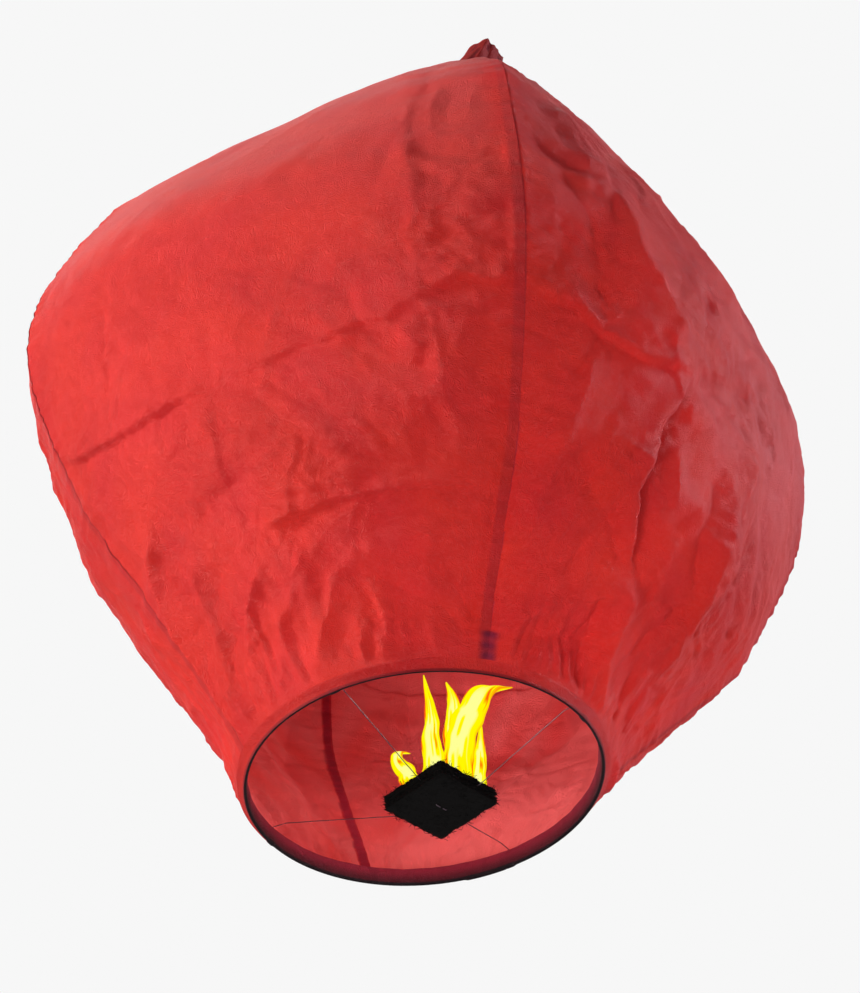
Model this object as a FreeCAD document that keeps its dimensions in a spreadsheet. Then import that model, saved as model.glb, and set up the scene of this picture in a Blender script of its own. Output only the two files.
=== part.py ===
import FreeCAD, Part
import os
import Sketcher
from math import atan2, cos, pi, radians, sin

# Sky lantern: four paper gores round a wire hoop, a gathered crown knot, two wires
# across the mouth, and a stack of waxed fuel sheets tied where the wires meet.
# Frame: origin at the hoop's centre, +Z up the envelope, one seam towards -Y.

V = FreeCAD.Vector
UP = V(0, 0, 1)

# ---------------------------------------------------------------- driving sizes, in mm
SIZES = {
    # hoop
    "hoop_radius": 150.0,
    "hoop_wire": 2.6,
    "hoop_butt": 0.8,
    "splice_length": 34.0,
    "splice_wall": 0.7,
    "splice_fit": 0.1,
    "splice_turn": 50.0,
    # paper
    "paper": 0.8,
    "fold_gap": 0.6,
    "hem_height": 14.0,
    "lap_width": 9.0,
    "lap_step": 3.0,
    "lap_gap": 0.35,
    # envelope outline: each station's rise over the one below, its radius at the seams,
    # and how far mid panel stands out from the straight line between two seams
    "flare_rise": 45.0,
    "flare_out": 29.0,
    "flare_bulge": 43.4,
    "lower_rise": 67.0,
    "lower_seam": 228.0,
    "lower_bulge": 52.8,
    "waist_rise": 98.0,
    "waist_seam": 298.0,
    "waist_bulge": 72.3,
    "belly_rise": 158.0,
    "belly_seam": 349.0,
    "belly_bulge": 69.2,
    "shoulder_rise": 157.0,
    "shoulder_seam": 297.5,
    "shoulder_bulge": 26.6,
    "slope_rise": 90.0,
    "slope_seam": 191.0,
    "slope_bulge": 22.9,
    "gather_rise": 109.0,
    "gather_seam": 30.0,
    "gather_bulge": 3.4,
    # how the inflated envelope stands on its hoop
    "lean_right": 60.0,
    "lean_front": 112.0,
    "tilt_right": -9.1,
    "tilt_back": 10.0,
    "tilt_start": 217.0,
    "seam_twist": -11.0,
    # crown knot
    "knot_height": 35.0,
    "knot_top": 13.0,
    "knot_lean": 31.0,
    "knot_turn": 23.0,
    "knot_gap": 0.3,
    # wires across the mouth
    "cross_wire": 0.7,
    "wire_turn": 41.0,
    "wire_touch": 0.06,
    "tie_turns": 3.0,
    "tie_pitch": 0.85,
    "tie_fit": 0.06,
    "edge_lift": 0.8,
    "edge_bend": 2.2,
    "edge_run": 16.0,
    "edge_drop": 1.5,
    "run_bend": 12.0,
    "pad_bend": 10.0,
    "pad_clear": 3.0,
    # fuel cell
    "fuel_side": 68.0,
    "fuel_corner": 5.0,
    "fuel_sheet": 2.0,
    "fuel_gap": 0.12,
    "fuel_drop": 17.0,
    "fuel_right": 13.0,
    "fuel_back": 1.0,
    "fuel_turn": 26.0,
    "staple_wire": 1.0,
    "staple_span": 12.0,
    "staple_fit": 0.25,
    "staple_lift": 0.2,
    "staple_foot": 4.5,
}
GORES = 4
FUEL_SHEETS = 6

# Layout of a gore's pole net: rows up the hem leg as shares of its height, rows round the
# fold, rows up the envelope, columns over the panel, and the most a lap may take of a gore.
HEM_ROWS = (1.0, 0.6, 0.25)
FOLD_STEPS = 6
ROWS = 26
COLUMNS = 13
LAP_SHARE = 0.18
STEP_SHARE = 0.06

doc = FreeCAD.newDocument("sky_lantern")
sheet = doc.addObject("Spreadsheet::Sheet", "Sizes")
for row, (alias, value) in enumerate(SIZES.items(), start=1):
    sheet.set(f"A{row}", alias)
    sheet.set(f"B{row}", str(value))
    sheet.setAlias(f"B{row}", alias)
doc.recompute()

parts = []


def size(alias):
    """A driving size, read back from the sheet."""
    return float(sheet.get(alias))


def bind(thing, **formulas):
    """Bind properties of an object to formulas over the sheet's aliases."""
    for prop, formula in formulas.items():
        for alias in sorted(SIZES, key=len, reverse=True):
            formula = formula.replace("[" + alias + "]", "Sizes." + alias)
        thing.setExpression(prop.replace("__", "."), formula)


def keep(thing, label):
    """List a finished sub-part; its label names its file."""
    thing.Label = label
    parts.append(thing)
    return thing


def computed(label, shape, placement=None):
    """A sub-part whose surface no primitive or sketch gives."""
    thing = doc.addObject("Part::Feature", label)
    thing.Shape = shape
    if placement is not None:
        thing.Placement = placement
    return keep(thing, label)


def around(degrees):
    """Horizontal direction: 0 is -Y, the front seam, and it turns towards +X."""
    return V(sin(radians(degrees)), -cos(radians(degrees)), 0)


# ---------------------------------------------------------------- envelope outline
hoop_radius = size("hoop_radius")
paper = size("paper")
hem_height = size("hem_height")
splice_radius = size("hoop_wire") / 2 + size("splice_fit") + size("splice_wall")
fold_radius = splice_radius + size("fold_gap")
fold = fold_radius + paper
half_gore = radians(180.0 / GORES)

heights = [0.0, size("flare_rise")]
seam_radii = [hoop_radius + fold, hoop_radius + size("flare_out")]
panel_radii = [hoop_radius + fold, seam_radii[1] * cos(half_gore) + size("flare_bulge")]
for name in ("lower", "waist", "belly", "shoulder", "slope", "gather"):
    heights.append(heights[-1] + size(name + "_rise"))
    seam_radii.append(size(name + "_seam"))
    panel_radii.append(seam_radii[-1] * cos(half_gore) + size(name + "_bulge"))
gather_height = heights[-1]


def slopes(xs, ys):
    """Slopes at the stations that keep the outline free of overshoot."""
    steps = [(ys[i + 1] - ys[i]) / (xs[i + 1] - xs[i]) for i in range(len(xs) - 1)]
    inner = [0.0 if a * b <= 0 else 2 * a * b / (a + b) for a, b in zip(steps, steps[1:])]
    return [steps[0]] + inner + [steps[-1]]


def outline(xs, ys, x):
    """Smooth value of the outline at height x."""
    x = min(max(x, xs[0]), xs[-1])
    i = max(j for j in range(len(xs) - 1) if xs[j] <= x)
    width = xs[i + 1] - xs[i]
    f = (x - xs[i]) / width
    g = slopes(xs, ys)
    return (ys[i] * (1 + 2 * f) * (1 - f) ** 2 + g[i] * width * f * (1 - f) ** 2
            + ys[i + 1] * f * f * (3 - 2 * f) + g[i + 1] * width * f * f * (f - 1))


def lean(height):
    """How far the envelope's middle has leant over at a height."""
    share = (max(height, 0.0) / gather_height) ** 2
    return V(size("lean_right"), -size("lean_front"), 0) * share


def section_point(seam, panel, gore, across):
    """Point across one gore: an arc from seam to seam through the panel's middle."""
    middle = (gore + 0.5) * 360.0 / GORES
    chord = seam * sin(half_gore)
    rise = panel - seam * cos(half_gore)
    radius = (chord * chord + rise * rise) / (2 * rise)
    sweep = atan2(chord, radius - rise)
    a = (2 * across - 1) * sweep
    out = panel - radius + radius * cos(a)
    return around(middle) * out + around(middle + 90) * (radius * sin(a))


def skin_point(radius_shift, height, gore, across):
    """Point on the paper's outer face; radius_shift is used round the level hem only."""
    share = min(max(height / gather_height, 0.0), 1.0)
    if radius_shift is not None:
        seam = panel = hoop_radius + radius_shift
        ease = 0.0
    else:
        seam = outline(heights, seam_radii, height)
        panel = outline(heights, panel_radii, height)
        ease = sin(pi / 2 * min(height / size("tilt_start"), 1.0)) * (1 - share ** 6)
    point = section_point(seam, panel, gore, across)
    turn = radians(size("seam_twist") * share)
    point = V(point.x * cos(turn) - point.y * sin(turn),
              point.x * sin(turn) + point.y * cos(turn), 0)
    tilt = (sin(radians(size("tilt_right"))) * point.x
            + sin(radians(size("tilt_back"))) * point.y)
    return point + lean(height) + V(0, 0, height + ease * tilt)


# Stations up one gore: hem leg inside the hoop, fold under it, then the envelope.
path = [(-fold, hem_height * share) for share in HEM_ROWS]
for step in range(FOLD_STEPS + 1):
    a = pi * step / FOLD_STEPS
    path.append((-fold * cos(a), -fold * sin(a)))
first = 1.2 * fold
for row in range(ROWS + 1):
    path.append((None, first + (gather_height - first) * row / ROWS))


def seam_side(across, gore):
    """Continue past a seam onto the next gore's arc."""
    if across < 0:
        return (gore - 1) % GORES, across + 1
    return gore, across


def gore_nets(gore):
    """Pole nets of a gore's outer and inner faces, from the lap to the far seam."""
    outer, inner = [], []
    small = 1e-3
    under = paper + size("lap_gap")
    for at, (shift, height) in enumerate(path):
        behind, ahead = path[max(at - 1, 0)], path[min(at + 1, len(path) - 1)]
        seam = outline(heights, seam_radii, height) if shift is None else hoop_radius
        width = 2 * seam * half_gore
        lap = min(size("lap_width") / width, LAP_SHARE)
        step = min(size("lap_step") / width, STEP_SHARE)
        edge = lap / 20
        start, stop = 2 * step, 1 - 2 * lap
        columns = [(-lap, under), (-lap / 2, under), (-edge, under), (step, 0.0)]
        columns += [(start + (stop - start) * i / COLUMNS, 0.0) for i in range(COLUMNS + 1)]
        columns += [(1 - lap, 0.0), (1 - lap / 2, 0.0), (1 - edge, 0.0)]
        outer_row, inner_row = [], []
        for across, sink in columns:
            g, f = seam_side(across, gore)
            here = skin_point(shift, height, g, f)
            side = skin_point(shift, height, g, f + small) - skin_point(shift, height, g, f - small)
            along = skin_point(*ahead, g, f) - skin_point(*behind, g, f)
            normal = side.cross(along)
            normal.normalize()
            outer_row.append(here - normal * sink)
            inner_row.append(here - normal * (sink + paper))
        outer.append(outer_row)
        inner.append(inner_row)
    return outer, inner


def clamped_knots(count, degree=3):
    """Knots and multiplicities of a clamped spline through the poles' ends."""
    spans = count - degree
    return [i / spans for i in range(spans + 1)], [degree + 1] + [1] * (spans - 1) + [degree + 1]


def spline_face(net):
    """Smooth face over a pole net; a net of two rows is ruled between them."""
    degree = min(3, len(net) - 1)
    u_knots, u_mults = clamped_knots(len(net), degree)
    v_knots, v_mults = clamped_knots(len(net[0]))
    surface = Part.BSplineSurface()
    surface.buildFromPolesMultsKnots(net, u_mults, v_mults, u_knots, v_knots,
                                     False, False, degree, 3)
    return surface.toShape()


def column(net, index):
    """One column of a pole net."""
    return [net_row[index] for net_row in net]


def thick_sheet(outer, inner):
    """Closed solid between two pole nets of the same layout."""
    faces = [spline_face(outer), spline_face(inner)]
    for end in (0, -1):
        faces.append(spline_face([outer[end], inner[end]]))
        faces.append(spline_face([column(outer, end), column(inner, end)]))
    shell = Part.Shell(faces)
    shell.sewShape()
    solid = Part.Solid(shell)
    if solid.Volume < 0:
        solid.reverse()
    return solid


for gore in range(GORES):
    computed(f"gore_{gore}", thick_sheet(*gore_nets(gore)))

# ---------------------------------------------------------------- crown knot
knot_base = gather_height + size("knot_gap")
top_share = size("knot_top") / size("gather_seam")


def knot_ring(share):
    """One ring of the knot: the gores' top outline, narrowed and leant over."""
    grow = 1 - (1 - top_share) * share ** 0.7
    middle = lean(gather_height)
    shift = around(size("knot_turn")) * (size("knot_lean") * share)
    lift = V(0, 0, knot_base + size("knot_height") * share)
    corners = []
    for gore in range(GORES):
        for across in (0.0, 0.5):
            point = skin_point(None, gather_height, gore, across) - middle
            corners.append(V(point.x, point.y, 0) * grow + middle + shift + lift)
    corners.append(corners[0])
    arcs = [Part.Arc(*corners[i:i + 3]).toShape() for i in range(0, 2 * GORES, 2)]
    return Part.Wire(arcs)


computed("crown_knot", Part.makeLoft([knot_ring(share) for share in (0.0, 0.35, 0.7, 1.0)], True))

# ---------------------------------------------------------------- hoop and its splice
hoop = doc.addObject("Part::Torus", "hoop")
bind(hoop, Radius1="[hoop_radius]", Radius2="[hoop_wire] / 2",
     Angle3="360 - [hoop_butt] / [hoop_radius] * 180 / pi",
     Placement__Rotation__Angle="[splice_turn] + [hoop_butt] / [hoop_radius] * 90 / pi")
keep(hoop, "hoop")

sleeve = doc.addObject("Part::Torus", "sleeve")
bore = doc.addObject("Part::Torus", "sleeve_bore")
for ring, radius in ((sleeve, "[hoop_wire] / 2 + [splice_fit] + [splice_wall]"),
                     (bore, "[hoop_wire] / 2 + [splice_fit]")):
    bind(ring, Radius1="[hoop_radius]", Radius2=radius,
         Angle3="[splice_length] / [hoop_radius] * 180 / pi")
splice = doc.addObject("Part::Cut", "hoop_splice")
splice.Base = sleeve
splice.Tool = bore
bind(splice, Placement__Rotation__Angle="[splice_turn] - [splice_length] / [hoop_radius] * 90 / pi")
keep(splice, "hoop_splice")

# ---------------------------------------------------------------- wires across the mouth
wire_radius = size("cross_wire") / 2
tie_radius = size("hoop_wire") / 2 + wire_radius + size("tie_fit")
exit_height = hem_height + wire_radius + size("edge_lift")
fuel_centre = V(size("fuel_right"), size("fuel_back"), -size("fuel_drop"))


def arc_path(points, radius_of):
    """Straight runs joined by tangent arcs of the given radii."""
    edges = []
    start = points[0]
    for i in range(1, len(points) - 1):
        back = (points[i - 1] - points[i]).normalize()
        ahead = (points[i + 1] - points[i]).normalize()
        turn = pi - back.getAngle(ahead)
        reach = radius_of(i) * sin(turn / 2) / cos(turn / 2)
        first_touch = points[i] + back * reach
        last_touch = points[i] + ahead * reach
        inward = (back + ahead).normalize()
        middle = points[i] + inward * (radius_of(i) / cos(turn / 2) - radius_of(i))
        edges.append(Part.LineSegment(start, first_touch).toShape())
        edges.append(Part.Arc(first_touch, middle, last_touch).toShape())
        start = last_touch
    edges.append(Part.LineSegment(start, points[-1]).toShape())
    return Part.Wire(edges)


def tube(path_wire, radius):
    """Round wire swept along a path."""
    start = path_wire.OrderedEdges[0]
    point = start.valueAt(start.FirstParameter)
    heading = start.tangentAt(start.FirstParameter)
    ring = Part.Wire([Part.Circle(point, heading, radius).toShape()])
    return path_wire.makePipeShell([ring], True, True)


def tie_coil(degrees):
    """Turns of the wire's end round the hoop, ending on the hoop's inner side."""
    length = size("tie_turns") * size("tie_pitch")
    helix = Part.makeHelix(size("tie_pitch"), length, tie_radius)
    ring = Part.Wire([Part.Circle(V(tie_radius, 0, 0), V(0, 1, 0), wire_radius).toShape()])
    coil = Part.Wire(helix.Edges).makePipeShell([ring], True, True)
    inward = around(degrees) * -1
    tangent = UP.cross(inward)
    frame = FreeCAD.Matrix(inward.x, UP.x, -tangent.x, 0, inward.y, UP.y, -tangent.y, 0,
                           inward.z, UP.z, -tangent.z, 0, 0, 0, 0, 1)
    coil = coil.transformGeometry(frame)
    coil.translate(around(degrees) * hoop_radius + tangent * length)
    return coil


def cross_wire(label, degrees, level):
    """One wire: tied to the hoop at both ends, over the hem's edge, down to the fuel cell."""
    seat = fuel_centre + V(0, 0, level)
    half = size("fuel_side") / 2 + size("pad_clear")
    route = []
    for end, sign in ((degrees, 1), (degrees + 180, -1)):
        out = around(end)
        foot = out * (hoop_radius - tie_radius)
        over = V(foot.x, foot.y, exit_height)
        near = out * (hoop_radius - size("edge_run")) + UP * (exit_height - size("edge_drop"))
        side = seat + out * half
        route.append([foot, over, near, side])
    points = route[0] + route[1][::-1]
    bends = [size("edge_bend"), size("run_bend"), size("pad_bend")]
    bends += bends[::-1]
    span = tube(arc_path(points, lambda i: bends[i - 1]), wire_radius)
    computed(label, Part.makeCompound([span, tie_coil(degrees), tie_coil(degrees + 180)]))


wire_level = wire_radius + size("wire_touch") / 2
cross_wire("cross_wire_low", size("wire_turn"), -wire_level)
cross_wire("cross_wire_high", size("wire_turn") + 90, wire_level)

# ---------------------------------------------------------------- fuel cell
WIRE_SLOT = "(2 * [cross_wire] + [wire_touch] + 2 * [fuel_gap])"
LEG = "[staple_span] / 2"


def origin_plane(body, role):
    """One of a body's own origin planes."""
    return [f for f in body.Origin.OriginFeatures if f.Role == role][0]


def fuel_layer(index):
    """One waxed sheet with two holes for the staple's legs."""
    body = doc.addObject("PartDesign::Body", f"fuel_sheet_{index}")
    outline_sketch = body.newObject("Sketcher::SketchObject", f"sheet_outline_{index}")
    outline_sketch.AttachmentSupport = (origin_plane(body, "XY_Plane"), [""])
    outline_sketch.MapMode = "FlatFace"
    side = size("fuel_side")
    h = side / 2
    corners = [V(-h, -h, 0), V(h, -h, 0), V(h, h, 0), V(-h, h, 0)]
    lines = [outline_sketch.addGeometry(Part.LineSegment(corners[i], corners[(i + 1) % 4]), False)
             for i in range(4)]
    for i in range(4):
        outline_sketch.addConstraint(Sketcher.Constraint("Coincident", lines[i], 2, lines[(i + 1) % 4], 1))
    outline_sketch.addConstraint(Sketcher.Constraint("Horizontal", lines[0]))
    outline_sketch.addConstraint(Sketcher.Constraint("Horizontal", lines[2]))
    outline_sketch.addConstraint(Sketcher.Constraint("Vertical", lines[1]))
    outline_sketch.addConstraint(Sketcher.Constraint("Vertical", lines[3]))
    outline_sketch.addConstraint(Sketcher.Constraint("Symmetric", lines[0], 1, lines[1], 2, -1, 1))
    wide = outline_sketch.addConstraint(Sketcher.Constraint("DistanceX", lines[0], 1, lines[0], 2, side))
    deep = outline_sketch.addConstraint(Sketcher.Constraint("DistanceY", lines[1], 1, lines[1], 2, side))
    bind(outline_sketch, **{f"Constraints[{wide}]": "[fuel_side]", f"Constraints[{deep}]": "[fuel_side]"})
    pad = body.newObject("PartDesign::Pad", f"sheet_pad_{index}")
    pad.Profile = outline_sketch
    bind(pad, Length="[fuel_sheet]")
    doc.recompute()
    rounded = body.newObject("PartDesign::Fillet", f"sheet_corners_{index}")
    upright = [f"Edge{i + 1}" for i, e in enumerate(pad.Shape.Edges)
               if abs(e.tangentAt(e.FirstParameter).z) > 0.99]
    rounded.Base = (pad, upright)
    bind(rounded, Radius="[fuel_corner]")
    hole_sketch = body.newObject("Sketcher::SketchObject", f"staple_holes_{index}")
    hole_sketch.AttachmentSupport = (origin_plane(body, "XY_Plane"), [""])
    hole_sketch.MapMode = "FlatFace"
    for sign in (1, -1):
        reach = size("staple_span") / 2
        ring = hole_sketch.addGeometry(Part.Circle(V(sign * reach, 0, 0), UP, size("staple_wire")), False)
        hole_sketch.addConstraint(Sketcher.Constraint("PointOnObject", ring, 3, -1))
        place = hole_sketch.addConstraint(
            Sketcher.Constraint("DistanceX", -1, 1, ring, 3, sign * reach))
        wide = hole_sketch.addConstraint(
            Sketcher.Constraint("Radius", ring, size("staple_wire")))
        bind(hole_sketch, **{f"Constraints[{place}]": f"{sign} * {LEG}",
                             f"Constraints[{wide}]": "[staple_wire] / 2 + [staple_fit]"})
    holes = body.newObject("PartDesign::Pocket", f"staple_pocket_{index}")
    holes.Profile = hole_sketch
    holes.Type = "ThroughAll"
    holes.Reversed = True
    body.Tip = holes
    side_of_wires = 1 if index >= FUEL_SHEETS // 2 else -1
    steps = index - FUEL_SHEETS // 2
    bind(body,
         Placement__Base__x="[fuel_right]",
         Placement__Base__y="[fuel_back]",
         Placement__Base__z=f"-[fuel_drop] + {steps} * ([fuel_sheet] + [fuel_gap])"
                            f" + {side_of_wires} * {WIRE_SLOT} / 2 + {(1 - side_of_wires) // 2} * [fuel_gap]",
         Placement__Rotation__Angle="[fuel_turn]")
    return keep(body, f"fuel_sheet_{index}")


for index in range(FUEL_SHEETS):
    fuel_layer(index)

# Staple: two legs through every sheet, either side of the wires, feet bent inwards below.
staple_radius = size("staple_wire") / 2
half_stack = (FUEL_SHEETS // 2) * (size("fuel_sheet") + size("fuel_gap")) + size("cross_wire")
half_stack += size("wire_touch") / 2 + size("fuel_gap") + size("staple_lift") + staple_radius
leg = size("staple_span") / 2
foot = size("staple_foot")
staple_points = [V(leg - foot, 0, -half_stack), V(leg, 0, -half_stack), V(leg, 0, half_stack),
                 V(-leg, 0, half_stack), V(-leg, 0, -half_stack), V(foot - leg, 0, -half_stack)]
staple_shape = tube(arc_path(staple_points, lambda i: 1.2 * size("staple_wire")), staple_radius)
computed("fuel_staple", staple_shape,
         FreeCAD.Placement(fuel_centre, FreeCAD.Rotation(UP, size("fuel_turn"))))

# ---------------------------------------------------------------- check and write
doc.recompute()
for thing in doc.Objects:
    bad = [word for word in thing.State if word in ("Invalid", "Error")]
    if bad:
        raise RuntimeError(f"{thing.Name}: {bad}")
os.makedirs("parts", exist_ok=True)
for thing in parts:
    shape = thing.Shape
    if shape.isNull() or not shape.isValid() or not shape.Solids or shape.Volume <= 0:
        raise RuntimeError(f"{thing.Label}: shape is not a valid solid")
    shape.exportStep(f"parts/{thing.Label}.step")
    box = shape.BoundBox
    print(f"{thing.Label:16s} solids {len(shape.Solids)} volume {shape.Volume:10.1f} "
          f"x {box.XMin:7.1f} {box.XMax:7.1f} y {box.YMin:7.1f} {box.YMax:7.1f} "
          f"z {box.ZMin:7.1f} {box.ZMax:7.1f}")
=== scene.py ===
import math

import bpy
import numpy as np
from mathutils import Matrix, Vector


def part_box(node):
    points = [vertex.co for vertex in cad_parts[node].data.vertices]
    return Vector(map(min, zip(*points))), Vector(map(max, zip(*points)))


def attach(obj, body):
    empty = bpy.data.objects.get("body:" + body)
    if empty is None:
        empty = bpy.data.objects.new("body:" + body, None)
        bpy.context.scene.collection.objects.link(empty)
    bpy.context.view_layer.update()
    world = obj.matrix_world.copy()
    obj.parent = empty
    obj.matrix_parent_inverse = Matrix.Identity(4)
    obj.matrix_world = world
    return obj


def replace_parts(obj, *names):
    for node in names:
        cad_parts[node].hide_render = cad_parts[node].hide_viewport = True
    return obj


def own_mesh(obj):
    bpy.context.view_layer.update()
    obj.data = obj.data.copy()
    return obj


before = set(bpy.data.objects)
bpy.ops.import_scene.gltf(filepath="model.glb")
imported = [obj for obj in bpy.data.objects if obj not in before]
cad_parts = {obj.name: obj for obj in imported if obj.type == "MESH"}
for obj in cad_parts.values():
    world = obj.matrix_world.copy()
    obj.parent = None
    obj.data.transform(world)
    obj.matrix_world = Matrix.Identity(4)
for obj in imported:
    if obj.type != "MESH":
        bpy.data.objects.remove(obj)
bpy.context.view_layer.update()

# %% [markdown]
# # Sky lantern: the visual model
# The CAD parts give every size and every joint. This script dresses them: crinkled tissue
# gores, a folded hem pulled over the hoop, a gathered crown knot, wire ties, a charred fuel
# pad and a flame. Lengths below are written in millimetres and turned to metres at the end.

MM = 0.001

# %% [markdown]
# ## Camera, light and floor
# The lantern floats overhead, so the camera looks up at it from well below, with a long lens
# that keeps the mouth's circle an undistorted ellipse. Large area lamps give the soft light of a
# studio, where a sun lamp would draw hard shadows. A small point light stands in for the light
# that the flame throws on the paper. The floor lies lower still, and the pale world shows behind.

# %% Camera, lamps and world
AZIMUTH, ELEVATION, ROLL = (math.radians(a) for a in (-23.012, -39.866, -5.902))
AIM = Vector((0.03894, 0.01815, 0.33312))
DISTANCE, LENS = 3.709, 150.96
back = Vector((math.sin(AZIMUTH) * math.cos(ELEVATION),
               -math.cos(AZIMUTH) * math.cos(ELEVATION), math.sin(ELEVATION)))
level = Vector((0, 0, 1)).cross(back).normalized()
right = level * math.cos(ROLL) + back.cross(level) * math.sin(ROLL)
camera = bpy.data.objects.new("camera", bpy.data.cameras.new("camera"))
camera.matrix_world = Matrix((right, back.cross(right), back)).transposed().to_4x4()
camera.location = AIM + back * DISTANCE
camera.data.lens = LENS
camera.data.clip_end = 60
bpy.context.collection.objects.link(camera)
bpy.context.scene.camera = camera


def lamp(name, azimuth, elevation, distance, width, power, colour):
    """A square area light that looks at the lantern's middle."""
    a, e = math.radians(azimuth), math.radians(elevation)
    away = Vector((math.sin(a) * math.cos(e), -math.cos(a) * math.cos(e), math.sin(e)))
    light = bpy.data.lights.new(name, "AREA")
    light.size, light.energy, light.color = width, power, colour
    obj = bpy.data.objects.new(name, light)
    obj.location = Vector((0, 0, 0.35)) + away * distance
    obj.rotation_euler = away.to_track_quat("Z", "Y").to_euler()
    bpy.context.collection.objects.link(obj)
    return obj


lamp("key_left", -100, 22, 4.0, 0.9, 176, (1.0, 0.95, 0.86))
lamp("fill_front", -52, -46, 4.5, 1.2, 118, (1.0, 0.97, 0.93))
lamp("low_right", 75, -30, 4.2, 0.9, 34, (1.0, 0.90, 1.0))
lamp("sheen_right", 88, 20, 3.6, 1.0, 84, (0.84, 0.88, 1.0))
lamp("back_top", 170, 50, 4.0, 3.0, 60, (1.0, 0.98, 0.96))

glow = bpy.data.objects.new("flame_glow", bpy.data.lights.new("flame_glow", "POINT"))
glow.data.energy, glow.data.shadow_soft_size, glow.data.color = 1.35, 0.05, (1.0, 0.92, 0.92)
glow.location = (0.03, -0.01, 0.13)
bpy.context.collection.objects.link(glow)

world = bpy.data.worlds.new("pale_studio")
bpy.context.scene.world = world
world.use_nodes = True
nodes, links = world.node_tree.nodes, world.node_tree.links
seen = nodes.new("ShaderNodeBackground")
seen.inputs["Color"].default_value = (0.93, 0.93, 0.93, 1)
ambient = nodes["Background"]
ambient.inputs["Color"].default_value = (0.28, 0.28, 0.30, 1)
ray = nodes.new("ShaderNodeLightPath")
choose = nodes.new("ShaderNodeMixShader")
links.new(ray.outputs["Is Camera Ray"], choose.inputs[0])
links.new(ambient.outputs[0], choose.inputs[1])
links.new(seen.outputs[0], choose.inputs[2])
links.new(choose.outputs[0], nodes["World Output"].inputs["Surface"])
bpy.context.scene.view_settings.view_transform = "Standard"
print("camera at", tuple(round(v, 3) for v in camera.location))

# %% [markdown]
# ## Small tools: meshes, noise, shader nodes
# Modifiers or sculpting could shape the paper, but computing its points with NumPy repeats
# exactly on every run. The noise is hashed from whole numbers, so it needs no random state.


# %% Helpers
def add_mesh(name, points, faces, material, uv=None, **values):
    """A mesh from points in millimetres, with an optional UV per point and named values."""
    mesh = bpy.data.meshes.new(name)
    mesh.from_pydata((np.asarray(points) * MM).tolist(), [], faces)
    mesh.shade_smooth()
    loops = np.empty(len(mesh.loops), int)
    mesh.loops.foreach_get("vertex_index", loops)
    if uv is not None:
        layer = mesh.uv_layers.new(name="UVMap")
        layer.data.foreach_set("uv", np.asarray(uv, float)[loops].ravel())
    for key, column in values.items():
        painted = mesh.attributes.new(key, "FLOAT", "POINT")
        painted.data.foreach_set("value", np.asarray(column, float).ravel())
    mesh.materials.append(material)
    obj = bpy.data.objects.new(name, mesh)
    bpy.context.collection.objects.link(obj)
    return obj


def grid_faces(rows, columns, ring=False):
    """Quads over a grid of points stored row by row; a ring joins its last column to the first."""
    wide = columns if ring else columns - 1
    r, c = np.meshgrid(np.arange(rows - 1), np.arange(wide), indexing="ij")
    d = (c + 1) % columns
    quads = np.stack([r * columns + c, r * columns + d, (r + 1) * columns + d, (r + 1) * columns + c], -1)
    return quads.reshape(-1, 4).tolist()


def noise2(x, y, seed):
    """Smooth gradient noise on a plane, about -0.7 to 0.7."""
    x0, y0 = np.floor(x), np.floor(y)
    fx, fy = x - x0, y - y0

    def corner(i, j):
        h = ((x0 + i).astype(np.int64) * 374761393 + (y0 + j).astype(np.int64) * 668265263
             + seed * 974634777) & 0xFFFFFFFF
        h = ((h ^ (h >> 13)) * 1274126177) & 0xFFFFFFFF
        a = (h ^ (h >> 16)) % 4096 / 4096 * 2 * np.pi
        return np.cos(a) * (fx - i) + np.sin(a) * (fy - j)

    sx, sy = fx ** 3 * (fx * (fx * 6 - 15) + 10), fy ** 3 * (fy * (fy * 6 - 15) + 10)
    low = corner(0, 0) * (1 - sx) + corner(1, 0) * sx
    high = corner(0, 1) * (1 - sx) + corner(1, 1) * sx
    return low * (1 - sy) + high * sy


def smooth(x):
    x = np.clip(x, 0, 1)
    return x * x * (3 - 2 * x)


def socket_key(word):
    """A node's socket from a keyword: i0 is the first socket, From_Min is the one named From Min."""
    return int(word[1:]) if word[0] == "i" and word[1:].isdigit() else word.replace("_", " ")


class Shader:
    """A material, new or copied from another, whose nodes are added by short calls."""

    def __init__(self, name, copied=None):
        self.material = copied.copy() if copied else bpy.data.materials.new(name)
        self.material.name = name
        self.material.use_nodes = True
        self.nodes, self.links = self.material.node_tree.nodes, self.material.node_tree.links
        self.surface = self.nodes["Principled BSDF"]
        self.output = self.nodes["Material Output"]

    def set(self, node, key, value):
        socket = node.inputs[key]
        if isinstance(value, bpy.types.NodeSocket):
            self.links.new(value, socket)
        elif isinstance(value, (tuple, list)) and len(value) == 3 and socket.type == "RGBA":
            socket.default_value = (*value, 1)
        else:
            socket.default_value = value

    def add(self, kind, out=0, settings=None, **inputs):
        node = self.nodes.new("ShaderNode" + kind)
        for key, value in (settings or {}).items():
            setattr(node, key, value)
        for key, value in inputs.items():
            self.set(node, socket_key(key), value)
        return node.outputs[out]

    def value(self, name):
        return self.add("Attribute", out=2, settings={"attribute_name": name})

    def maths(self, operation, a, b=0.0):
        return self.add("Math", settings={"operation": operation}, i0=a, i1=b)

    def mix(self, share, a, b):
        node = self.nodes.new("ShaderNodeMix")
        node.data_type = "RGBA"
        for key, value in ((0, share), (6, a), (7, b)):
            self.set(node, key, value)
        return node.outputs[2]

    def ramp(self, value, low, high):
        return self.add("MapRange", settings={"clamp": True}, Value=value, From_Min=low, From_Max=high)


print("noise at two points:", noise2(np.array([0.3, 1.7]), np.array([0.4, 0.9]), 1).round(3))


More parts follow.
